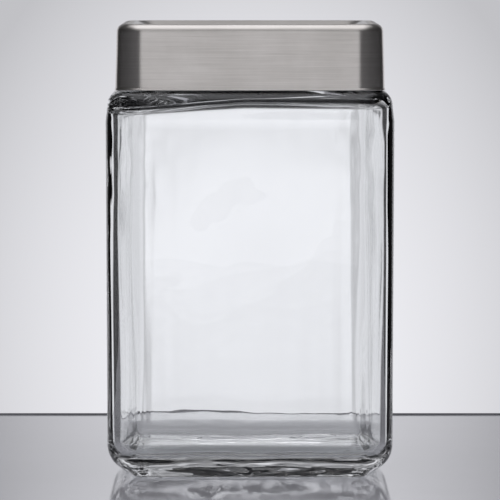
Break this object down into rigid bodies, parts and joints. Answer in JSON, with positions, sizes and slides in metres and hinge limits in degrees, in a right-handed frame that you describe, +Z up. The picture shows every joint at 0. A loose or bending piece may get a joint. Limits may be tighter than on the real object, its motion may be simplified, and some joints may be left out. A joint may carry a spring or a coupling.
{
  "type": "square glass storage jar",
  "caption": "Square clear glass storage jar with rounded corners, a thick foot and a brushed metal screw lid with a stacking recess.",
  "frame": {"origin": "middle of the foot, on the surface that the jar stands on", "axes": "+Z up through the mouth, -Y is the front face, +X to the right seen from the front"},
  "size_m": [0.11, 0.11, 0.173],
  "materials": {
    "glass": "clear pressed soda-lime glass, smooth with slight mould waviness",
    "brushed_metal": "fine horizontal brushed stainless steel sheet",
    "cap_plastic": "moulded charcoal polypropylene"
  },
  "bodies": {
    "root": {"jar": "glass", "lid": "brushed_metal", "lid_cap": "cap_plastic"}
  },
  "joints": []
}
